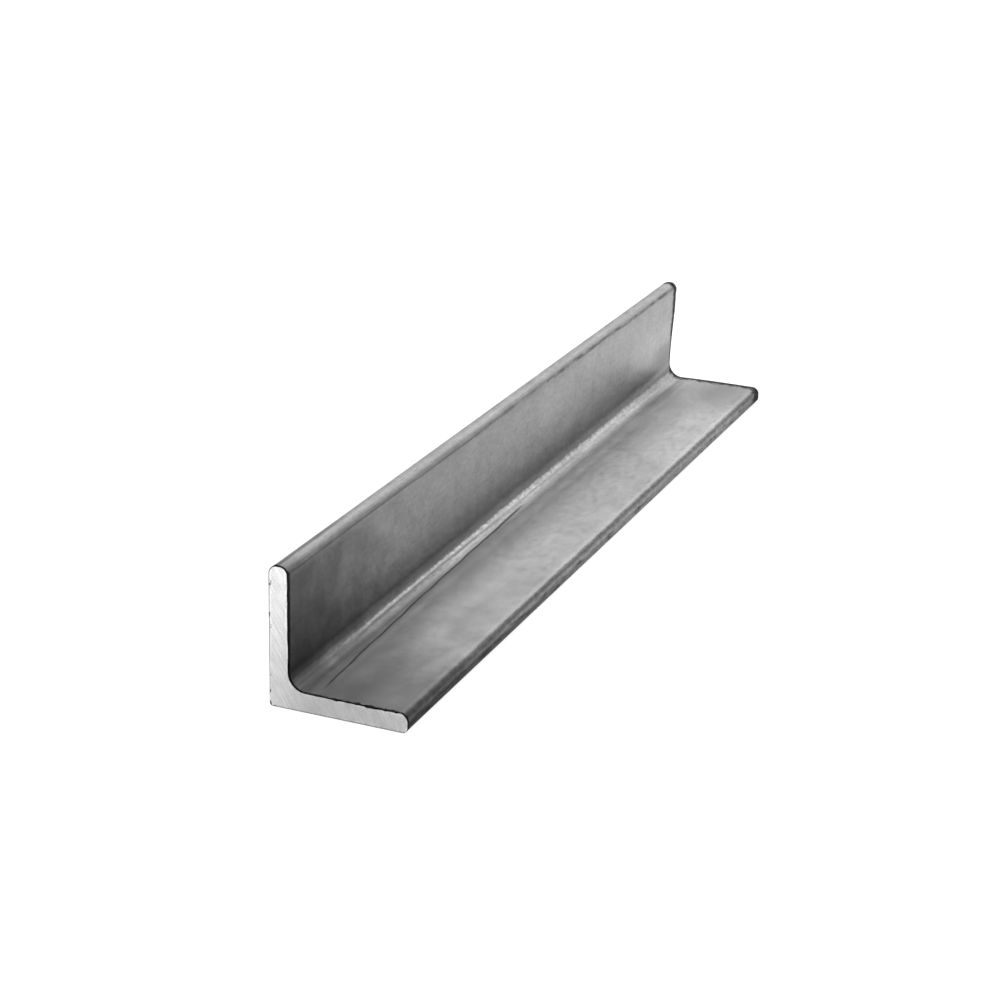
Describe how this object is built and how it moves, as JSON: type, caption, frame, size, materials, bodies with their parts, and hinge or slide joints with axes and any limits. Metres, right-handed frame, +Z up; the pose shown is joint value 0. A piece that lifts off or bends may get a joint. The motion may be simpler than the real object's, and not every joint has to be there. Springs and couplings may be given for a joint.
{
  "type": "equal-leg steel angle bar",
  "caption": "Short cut length of hot-rolled equal-leg steel angle with a filleted root, rounded toes and square sawn ends, used as framing stock or an L-shaped bracket blank.",
  "frame": {"origin": "on the underside of the flat leg, under the middle of the bar's box", "axes": "+X across the flat leg from heel to toe, +Y along the bar, +Z up the upright leg"},
  "size_m": [0.05, 0.38, 0.05],
  "materials": {
    "hot_rolled_steel": "hot-rolled mill surface on the legs, bright sawn ends"
  },
  "bodies": {
    "root": {"angle_bar": "hot_rolled_steel"}
  },
  "joints": []
}
